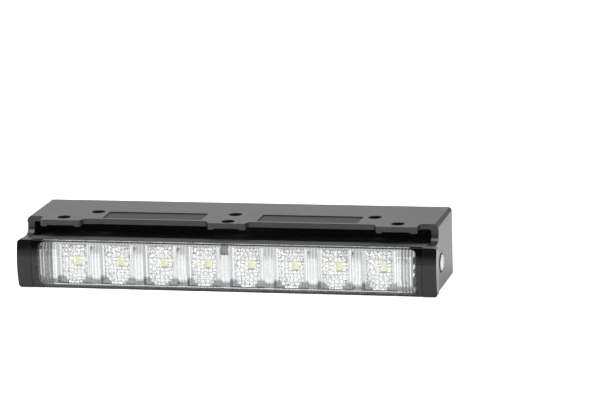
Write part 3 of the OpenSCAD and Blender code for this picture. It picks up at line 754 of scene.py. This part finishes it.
@dataclass
class Studio:
    """The plain studio: floor, world and soft lamps."""

    floor_size: float = 9.0
    floor_drop: float = 0.0002
    floor_roughness: float = 0.9
    floor_colour: float = 0.82
    floor_glow: float = 0.45
    floor_white: float = 0.3
    ambient: float = 0.55
    dark_side: float = 0.08
    front_start: float = -0.25
    front_end: float = 0.15
    low_start: float = 0.02
    low_end: float = 0.3
    high_start: float = 0.6
    high_end: float = 0.8
    key_place: tuple[float, float, float] = (-0.6, -0.5, 1.5)
    key_size: float = 1.2
    key_watts: float = 16.0
    fill_place: tuple[float, float, float] = (1.3, 0.2, 1.0)
    fill_size: float = 0.9
    fill_watts: float = 7.0

    def build(self) -> None:
        """Adds the floor, the world and the lamps."""
        self.build_floor()
        self.build_world()
        self.lamp("key", Vector(self.key_place), self.key_size, self.key_watts)
        self.lamp("fill", Vector(self.fill_place), self.fill_size, self.fill_watts)

    def build_floor(self) -> None:
        """Adds the pale floor, which the camera and the glossy pieces see as white."""
        bpy.ops.mesh.primitive_plane_add(size=self.floor_size, location=(0, 0, -self.floor_drop))
        floor = bpy.context.object
        floor.name = "floor"
        material = bpy.data.materials.new("floor")
        material.use_nodes = True
        tree = Nodes(material.node_tree)
        shader = material.node_tree.nodes["Principled BSDF"]
        shader.inputs["Base Color"].default_value = (self.floor_colour,) * 3 + (1,)
        shader.inputs["Roughness"].default_value = self.floor_roughness
        shader.inputs["Specular IOR Level"].default_value = 0.0
        shader.inputs["Emission Color"].default_value = (1, 1, 1, 1)
        camera = tree.add("ShaderNodeLightPath").outputs["Is Camera Ray"]
        glow = tree.maths("ADD", tree.maths("MULTIPLY", self.seen_directly(tree), self.floor_glow),
                          tree.maths("MULTIPLY", camera, self.floor_white))
        tree.join(glow, shader.inputs["Emission Strength"])
        floor.data.materials.append(material)

    @staticmethod
    def seen_directly(tree: Nodes) -> bpy.types.NodeSocket:
        """One for camera, glossy and transmission rays, and nought for the rest.

        Args:
            tree: the tree to add the nodes to.

        Returns:
            The socket that holds the mask.
        """
        path = tree.add("ShaderNodeLightPath")
        both = tree.maths("MAXIMUM", path.outputs["Is Camera Ray"], path.outputs["Is Glossy Ray"])
        return tree.maths("MAXIMUM", both, path.outputs["Is Transmission Ray"])

    def build_world(self) -> None:
        """Sets the world: even light for the object, and a white room with a dark front for its gloss."""
        world = bpy.data.worlds.new("studio")
        bpy.context.scene.world = world
        world.use_nodes = True
        world.node_tree.nodes.clear()
        tree = Nodes(world.node_tree)
        place = tree.parts(tree.add("ShaderNodeTexCoord").outputs["Generated"])
        front = tree.fade(place["Y"], self.front_start, self.front_end, self.dark_side, smooth=True)
        low = tree.fade(place["Z"], self.low_start, self.low_end, 1.0, 0.0, smooth=True)
        high = tree.fade(place["Z"], self.high_start, self.high_end, smooth=True)
        behind = tree.add("ShaderNodeLightPath").outputs["Is Transmission Ray"]
        room = tree.maths("MAXIMUM", tree.maths("MAXIMUM", front, tree.maths("MAXIMUM", high, low)), behind)
        strength = tree.blend(self.seen_directly(tree), self.ambient, room)
        background = tree.add("ShaderNodeBackground")
        output = tree.add("ShaderNodeOutputWorld")
        tree.join(strength, background.inputs["Strength"])
        tree.join(background.outputs[0], output.inputs["Surface"])

    @staticmethod
    def lamp(name: str, place: Vector, size: float, watts: float) -> None:
        """Adds a soft square lamp aimed at the object.

        Args:
            name: the lamp's name.
            place: where it hangs, in metres.
            size: its side, in metres.
            watts: its power.
        """
        data = bpy.data.lights.new(name, "AREA")
        data.size = size
        data.energy = watts
        lamp = bpy.data.objects.new(name, data)
        bpy.context.scene.collection.objects.link(lamp)
        lamp.location = place
        lamp.rotation_euler = (-place).to_track_quat("-Z", "Y").to_euler()


@dataclass
class Mouldings:
    """The bracket, the housing, the cover and the reflector, with the edges of real mouldings."""

    bracket_edge: float = 0.35 * MM
    housing_edge: float = 0.25 * MM
    cover_edge: float = 0.15 * MM
    cover_play: float = 0.03 * MM
    hole_reach: float = 3.5 * MM
    plate_under: float = 28.9 * MM
    wall_tilt: float = 0.97

    def build(self) -> None:
        """Makes the four mouldings."""
        bracket = Bench.copy_of("bracket", "bracket_moulding")
        Bench.break_edges(bracket, self.bracket_edge, kept=self.by_hole)
        BRACKET_BLACK.dress(bracket)
        # painted shade in the screw holes
        self.paint_hole_shade(bracket)
        Bench.seat(bracket, "bracket_plastic", "bracket")
        housing = Bench.copy_of("housing", "housing_moulding")
        Bench.break_edges(housing, self.housing_edge)
        HOUSING_BLACK.dress(housing)
        Bench.seat(housing, "housing_plastic", "housing")
        cover = Bench.copy_of("lens_cover", "cover_moulding")
        Bench.edit(cover)
        bpy.ops.mesh.select_all(action="SELECT")
        bpy.ops.transform.shrink_fatten(value=-self.cover_play)
        bpy.ops.object.mode_set(mode="OBJECT")
        Bench.break_edges(cover, self.cover_edge)
        COVER_CLEAR.dress(cover)
        Bench.seat(cover, "clear_cover", "lens_cover")
        reflector = Bench.copy_of("reflector", "reflector_moulding")
        Bench.even_shading(reflector)
        CHROME.dress(reflector)
        Bench.seat(reflector, "reflector_chrome", "reflector")

    def hole_places(self) -> list[Vector]:
        """Reads where the screw holes of the top plate are.

        Returns:
            The middle of each hole, from the record's bolt patterns.
        """
        places = []
        for mount in frame["record"]["mounts"]:
            if mount["kind"] != "bolt_pattern":
                continue
            middle, dims = Vector(mount["pos_m"]), mount["dims"]
            half = Vector((dims.get("spacing_x_mm", 0), dims.get("spacing_y_mm", 0), 0)) * MM / 2
            places += [middle - half, middle + half]
        return places

    def by_hole(self, point: Vector) -> bool:
        """Tells whether a place of the bracket belongs to one of its screw holes."""
        return point.z > self.plate_under and any((point - hole).xy.length < self.hole_reach
                                                  for hole in self.hole_places())

    def paint_hole_shade(self, bracket: bpy.types.Object) -> None:
        """Paints shade on the walls of the screw holes: a darker, duller black than the plate.

        Args:
            bracket: the bracket.
        """
        bracket.data.materials.append(HOLE_PAINTED_SHADE.material())
        Bench.edit(bracket)
        Bench.pick_faces(bracket, lambda centre, normal: (self.by_hole(centre)
                                                          and abs(normal.z) < self.wall_tilt))
        bracket.active_material_index = 1
        bpy.ops.object.material_slot_assign()
        bpy.ops.object.mode_set(mode="OBJECT")


@dataclass
class SideScrews:
    """The two round-headed screws that hold the housing in the bracket's cheeks."""

    crown: float = 0.9 * MM
    crown_faces: int = 5
    rim_share: float = 0.96
    round_angle: float = 40.0

    def build(self) -> None:
        """Makes both screws."""
        for side in Side:
            node = f"side_screw_{side.name.lower()}"
            screw = Bench.copy_of(node, f"{node}_round")
            low, high = (Vector(corner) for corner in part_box(node))
            middle, reach = (low + high) / 2, (high.z - low.z) / 2
            outer = high.x if side is Side.RIGHT else low.x
            Bench.edit(screw, "EDGE")

            def on_rim(point: Vector) -> bool:
                """True for a vertex on the outer edge of the head."""
                return abs(point.x - outer) < NEAR and (point - middle).yz.length > reach * self.rim_share

            mesh = bmesh.from_edit_mesh(screw.data)
            for edge in mesh.edges:
                edge.select_set(all(on_rim(vertex.co) for vertex in edge.verts))
            bmesh.update_edit_mesh(screw.data)
            bpy.ops.mesh.bevel(offset=self.crown, segments=self.crown_faces)
            bpy.ops.object.mode_set(mode="OBJECT")
            Bench.even_shading(screw, self.round_angle)
            ZINC.dress(screw)
            Bench.seat(screw, "screw_zinc", node)


@dataclass
class Optics:
    """The row of clear optics: a front of small facets over a body that narrows to its light source."""

    columns: int = 9
    rows: int = 13
    upper_powers: tuple[float, float] = (7.0, 8.0)
    lower_powers: tuple[float, float] = (2.6, 4.5)
    foot: float = 6.4 * MM
    foot_taller: float = 1.0 * MM
    foot_rim: float = 1.3 * MM
    foot_thinning: float = 100.0
    foot_clear_share: float = 0.25
    waist: float = 2.6 * MM
    crown: float = 1.1 * MM
    facet_gap: float = 0.1 * MM
    facet_rise: float = 0.14 * MM
    facet_peak: float = 0.25 * MM
    facet_shift: float = 0.2 * MM
    facet_seed: int = 7
    front_tilt: float = 0.6
    window_left: float = 0.6 * MM
    window_right: float = 3.5 * MM
    window_low: float = -0.8 * MM
    window_high: float = 3.6 * MM
    wing_reach: float = 7.8 * MM
    wing_back: float = 0.2 * MM
    wing_t: float = 0.6 * MM
    wing_ribs: int = 24
    wing_start: float = 0.6
    rib_rise: float = 0.18 * MM
    count: int = 8

    def build(self) -> None:
        """Models the first optic and copies it along the row."""
        first = self.model("optic_jewel_1", *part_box("optic_1"))
        Bench.seat(first, "optic_clear", "optic_1")
        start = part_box("optic_1")[0][0]
        for number in range(2, self.count + 1):
            piece = bpy.data.objects.new(f"optic_jewel_{number}", first.data.copy())
            bpy.context.scene.collection.objects.link(piece)
            piece.data.transform(Matrix.Translation((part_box(f"optic_{number}")[0][0] - start, 0, 0)))
            Bench.seat(piece, "optic_clear", f"optic_{number}")

    def model(self, name: str, low: Vector, high: Vector) -> bpy.types.Object:
        """Models one optic in its box.

        Args:
            name: the piece's name.
            low: the lowest corner of its box.
            high: the highest corner of its box.

        Returns:
            The optic.
        """
        low, high = Vector(low), Vector(high)
        middle = (low + high) / 2
        size = high - low
        girdle = low.y + self.crown + self.facet_rise + self.facet_peak
        bpy.ops.object.select_all(action="DESELECT")
        bpy.ops.mesh.primitive_grid_add(x_subdivisions=self.columns, y_subdivisions=self.rows, size=1,
                                        location=(middle.x, girdle, middle.z), rotation=(math.pi / 2, 0, 0))
        piece = bpy.context.object
        piece.name = name
        piece.scale = (size.x, size.z, 1)
        bpy.ops.object.transform_apply(location=True, rotation=True, scale=True)
        Bench.edit(piece)
        if Bench.pick_faces(piece, lambda centre, normal: self.reach(centre, middle, size) > 1.0):
            bpy.ops.mesh.delete(type="FACE")
        bpy.ops.object.mode_set(mode="OBJECT")
        self.bulge(piece, middle, size)
        self.grow_body(piece, middle, size, girdle, high.y)
        self.cut_facets(piece, middle, girdle)
        self.silver(piece, middle, girdle, high.y)
        wings = self.model_wings(middle, size, girdle)
        Bench.solo(piece)
        wings.select_set(True)
        bpy.ops.object.join()
        Bench.solo(piece)
        return piece

    def model_wings(self, middle: Vector, size: Vector, girdle: float) -> bpy.types.Object:
        """Models the ribbed wings that fill the trough on both sides of the optic.

        Args:
            middle: the middle of the optic's box.
            size: the size of the box.
            girdle: the Y where the front ends.

        Returns:
            The wings.
        """
        bpy.ops.object.select_all(action="DESELECT")
        bpy.ops.mesh.primitive_grid_add(x_subdivisions=self.wing_ribs, y_subdivisions=self.rows, size=1,
                                        location=(middle.x, girdle + self.wing_back, middle.z),
                                        rotation=(math.pi / 2, 0, 0))
        wings = bpy.context.object
        wings.scale = (self.wing_reach * 2, size.z, 1)
        bpy.ops.object.transform_apply(location=True, rotation=True, scale=True)
        Bench.edit(wings)
        Bench.pick_faces(wings, lambda centre, normal: self.reach(centre, middle, size) < self.wing_start)
        bpy.ops.mesh.delete(type="FACE")
        bpy.ops.mesh.select_mode(type="VERT")
        step = self.wing_reach * 2 / self.wing_ribs
        Bench.pick_points(wings, lambda point: round((point.x - middle.x + self.wing_reach) / step) % 2 == 1)
        bpy.ops.transform.translate(value=(0, -self.rib_rise, 0))
        bpy.ops.object.mode_set(mode="OBJECT")
        wall = wings.modifiers.new("wall", "SOLIDIFY")
        wall.thickness = self.wing_t
        bpy.ops.object.modifier_apply(modifier=wall.name)
        CHROME.dress(wings)
        return wings

    def in_window(self, place: Vector, middle: Vector) -> bool:
        """Tells whether a place lies in the plain window over the light source."""
        off = place - middle
        return self.window_left < off.x < self.window_right and self.window_low < off.z < self.window_high

    def reach(self, place: Vector, middle: Vector, size: Vector) -> float:
        """Tells how far out a place lies, where 1 is the stepped outline: square above and round below.

        Args:
            place: the place.
            middle: the middle of the optic's box.
            size: the size of the box.

        Returns:
            The reach.
        """
        x = abs(place.x - middle.x) / (size.x / 2)
        z = (place.z - middle.z) / (size.z / 2)
        across, upright = self.upper_powers if z > 0 else self.lower_powers
        return x ** across + abs(z) ** upright

    def bulge(self, piece: bpy.types.Object, middle: Vector, size: Vector) -> None:
        """Brings the middle of the front forward, row by row and column by column.

        Args:
            piece: the grid.
            middle: the middle of the optic's box.
            size: the size of the box.
        """
        Bench.edit(piece, "VERT")
        for axis, extent, count in ((0, size.x, self.columns), (2, size.z, self.rows)):
            for step in range(1, count):
                place = (step / count - 0.5) * extent
                share = 1 - (2 * step / count - 1) ** 2

                def on_line(point: Vector, axis: int = axis, place: float = place) -> bool:
                    """True for a vertex on this row or column."""
                    return abs(point[axis] - middle[axis] - place) < NEAR

                Bench.pick_points(piece, on_line)
                bpy.ops.transform.translate(value=(0, -self.crown * share / 2, 0))
        bpy.ops.object.mode_set(mode="OBJECT")

    def grow_body(self, piece: bpy.types.Object, middle: Vector, size: Vector, girdle: float,
                  back: float) -> None:
        """Draws the outline backwards into the body and closes it on the board.

        Args:
            piece: the grid.
            middle: the middle of the optic's box.
            size: the size of the box.
            girdle: the Y where the front ends.
            back: the Y of the board.
        """
        Bench.edit(piece, "EDGE")
        bpy.ops.mesh.select_all(action="SELECT")
        bpy.ops.mesh.region_to_loop()
        bpy.ops.mesh.extrude_region_move(TRANSFORM_OT_translate={"value": (0, self.waist, 0)})
        bpy.ops.mesh.extrude_region_move(TRANSFORM_OT_translate={"value": (0, back - girdle - self.waist, 0)})
        bpy.ops.transform.resize(value=(self.foot / size.x, 1, (self.foot + self.foot_taller) / size.z),
                                 center_override=(middle.x, back, middle.z))
        bpy.ops.mesh.edge_face_add()
        bpy.ops.mesh.select_mode(type="FACE")
        bpy.ops.mesh.inset(thickness=self.foot_rim / self.foot_thinning)
        share = 1 - 2 * self.foot_rim / self.foot
        bpy.ops.transform.resize(value=(share, 1, share), center_override=(middle.x, back, middle.z))
        bpy.ops.mesh.select_all(action="SELECT")
        bpy.ops.mesh.normals_make_consistent(inside=False)
        bpy.ops.object.mode_set(mode="OBJECT")

    def cut_facets(self, piece: bpy.types.Object, middle: Vector, girdle: float) -> None:
        """Raises a small uneven pyramid on each cell of the front, apart from a plain window.

        Args:
            piece: the optic.
            middle: the middle of the optic's box.
            girdle: the Y where the front ends.
        """
        Bench.edit(piece)

        def faceted(centre: Vector, normal: Vector) -> bool:
            """True for a cell of the front outside the plain window over the light source."""
            front = normal.y < -self.front_tilt and centre.y < girdle + HAIR
            return front and not self.in_window(centre, middle)

        Bench.pick_faces(piece, faceted)
        bpy.ops.mesh.inset(thickness=self.facet_gap, depth=self.facet_rise, use_individual=True)
        bpy.ops.mesh.poke(offset=self.facet_peak)
        bpy.ops.mesh.select_mode(type="VERT")
        mesh = bmesh.from_edit_mesh(piece.data)
        for vertex in mesh.verts:
            peak = len(vertex.link_edges) == 4 and all(len(face.verts) == 3 for face in vertex.link_faces)
            vertex.select_set(peak)
        mesh.select_flush(True)
        bmesh.update_edit_mesh(piece.data)
        bpy.ops.transform.vertex_random(offset=self.facet_shift, uniform=0.0, normal=0.0,
                                        seed=self.facet_seed)
        bpy.ops.object.mode_set(mode="OBJECT")

    def silver(self, piece: bpy.types.Object, middle: Vector, girdle: float, back: float) -> None:
        """Leaves the window and the middle of the foot clear, silvers the facets and frosts the sides.

        Args:
            piece: the optic.
            middle: the middle of the optic's box.
            girdle: the Y where the front ends.
            back: the Y of the board.
        """
        OPTIC_CLEAR.dress(piece)
        piece.data.materials.append(OPTIC_FACETS.material())
        piece.data.materials.append(OPTIC_SIDES.material())

        def facets(centre: Vector, normal: Vector) -> bool:
            """True for the front outside the window."""
            return centre.y < girdle + HAIR and not self.in_window(centre, middle)

        def sides(centre: Vector, normal: Vector) -> bool:
            """True for the body outside the middle of its foot."""
            clear = (centre - middle).xz.length < self.foot * self.foot_clear_share
            return centre.y > girdle + HAIR and not (centre.y > back - NEAR and clear)

        Bench.edit(piece)
        for index, wanted in ((1, facets), (2, sides)):
            Bench.pick_faces(piece, wanted)
            piece.active_material_index = index
            bpy.ops.object.material_slot_assign()
        bpy.ops.object.mode_set(mode="OBJECT")


DRESS = {
    "cover_seal": SEAL_BLACK, "reflector_clip": CLIP_GREY, "circuit_board": MASK_WHITE,
    "board_connector": NYLON, "board_screws": ZINC, "thermal_pad": PAD, "heat_sink": CAST,
    "sink_seal": SEAL_BLACK, "sink_screws": ZINC, "cable_gland": SEAL_BLACK, "vent_membrane": FILM,
    "led_": PHOSPHOR_PAINTED_GLOW, "side_washer": STEEL_PAINTED_SHADE, "thread_insert": BRASS,
}


def main() -> None:
    """Builds the lamp's looks in order: what DRESS names keeps its solid, and the rest is made anew."""
    logging.basicConfig(level=logging.INFO, format="%(message)s")
    scene = bpy.context.scene
    scene.view_settings.view_transform = "Standard"
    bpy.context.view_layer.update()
    PhotoCamera().build()
    Studio().build()
    for name, node in frame["nodes"].items():
        finish = next((finish for stem, finish in DRESS.items() if name.startswith(stem)), None)
        if finish:
            finish.dress(node)
            LOG.info("dressed %s", name)
    Mouldings().build()
    SideScrews().build()
    Optics().build()


if __name__ == "__main__":
    main()
